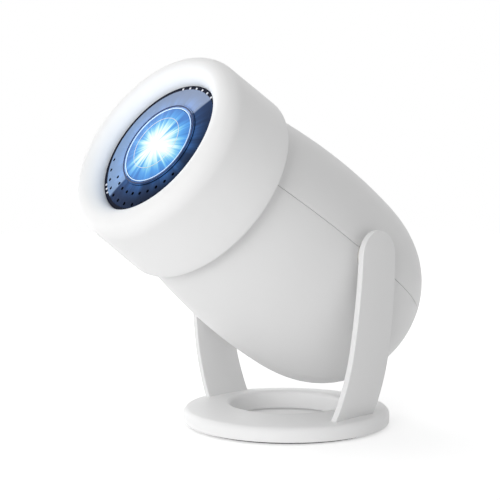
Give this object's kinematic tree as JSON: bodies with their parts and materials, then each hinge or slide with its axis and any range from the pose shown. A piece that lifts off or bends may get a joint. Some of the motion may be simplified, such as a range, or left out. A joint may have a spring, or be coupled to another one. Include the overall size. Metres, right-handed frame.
{
  "type": "video projector",
  "caption": "Small drum-shaped video projector that tilts on friction pivots in a two-armed yoke over a ring base, with a wheel-driven focus lens in a black front.",
  "frame": {"origin": "middle of the ring foot's underside, on the plane the projector rests on", "axes": "-Z is the way the foot faces; the lens looks towards -Y and up; the tilt axis lies along X, with the focus wheel on the -X side"},
  "size_m": [0.1244, 0.1981, 0.1853],
  "materials": {
    "white_plastic": "smooth satin white moulding",
    "underside_plastic": "matt pale grey moulding",
    "panel_black": "polished blue-black",
    "bright_trim": "polished",
    "black_plastic": "fine matt black",
    "grey_plastic": "matt grey",
    "rubber": "matt",
    "steel": "brushed",
    "bush_brass": "turned",
    "nylon": "natural nylon",
    "sink_aluminium": "plain extruded",
    "clear_glass": "polished and coated",
    "picture_glass": "polished dark liquid-crystal panel",
    "board_green": "coated circuit board",
    "window_red": "polished dark red"
  },
  "bodies": {
    "stand": {"base_ring": "white_plastic", "base_weight": "steel", "base_plate": "underside_plastic", "foot_ring": "rubber", "arm_right": "white_plastic", "arm_left": "white_plastic", "arm_screws": "steel", "friction_washers": "nylon", "wave_washers": "steel", "cap_washers": "steel", "pivot_screws": "steel"},
    "head": {"pivot_bushes": "bush_brass", "upper_shell": "white_plastic", "lower_shell": "white_plastic", "front_ring": "white_plastic", "front_panel": "panel_black", "lens_trim_ring": "bright_trim", "lens_seat": "black_plastic", "seat_screws": "steel", "focus_axle": "steel", "focus_clip": "steel", "focus_retainer": "steel", "engine_box": "black_plastic", "engine_screws": "steel", "fresnel_front": "clear_glass", "picture_panel": "picture_glass", "fresnel_rear": "clear_glass", "heat_glass": "clear_glass", "condenser_lens": "clear_glass", "led_board": "sink_aluminium", "heat_sink": "sink_aluminium", "fan_frame": "black_plastic", "fan_screws": "steel", "main_board": "board_green", "power_board": "board_green", "board_standoffs": "bush_brass", "speaker": "black_plastic", "rear_panel": "grey_plastic", "rear_screws": "steel", "io_board": "board_green", "hdmi_socket": "steel", "usb_socket": "steel", "audio_jack": "black_plastic", "mains_inlet": "black_plastic", "infrared_window": "window_red", "button_board": "board_green"},
    "focus_ring": {"focus_ring": "black_plastic"},
    "focus_wheel": {"focus_wheel": "grey_plastic"},
    "lens": {"lens_tube": "black_plastic", "front_lens": "clear_glass", "middle_lens": "clear_glass", "rear_lens": "clear_glass", "lens_retainer": "black_plastic"},
    "fan": {"fan_rotor": "black_plastic"},
    "button": {"power_button": "white_plastic"}
  },
  "joints": [
    {"name": "tilt", "type": "hinge", "parent": "stand", "child": "head", "pos_m": [0, 0, 0.09], "axis": [-1, 0, 0], "range_deg": [-30.5, 149.5]},
    {"name": "focus_turn", "type": "hinge", "parent": "head", "child": "focus_ring", "pos_m": [0, 0.00051, 0.09086], "axis": [0, -0.8616, 0.5075], "range_deg": [-45, 45]},
    {"name": "wheel_turn", "type": "hinge", "parent": "head", "child": "focus_wheel", "pos_m": [-0.0405, 0.00051, 0.09086], "axis": [0, -0.8616, 0.5075], "range_deg": [-106.88, 106.88]},
    {"name": "lens_slide", "type": "slide", "parent": "head", "child": "lens", "axis": [0, -0.8616, 0.5075], "range_m": [-0.0025, 0.0025]},
    {"name": "fan_spin", "type": "hinge", "parent": "head", "child": "fan", "pos_m": [0, 0, 0.09], "axis": [0, -0.8616, 0.5075], "continuous": true},
    {"name": "power_press", "type": "slide", "parent": "head", "child": "button", "axis": [0, -0.8616, 0.5075], "range_m": [0, 0.0006], "stiffness_N_per_m": 1500}
  ],
  "couplings": [
    {"joint": "wheel_turn", "follows": "focus_turn", "ratio": -2.375},
    {"joint": "lens_slide", "follows": "focus_turn", "m_per_rad": 0.0031831}
  ]
}
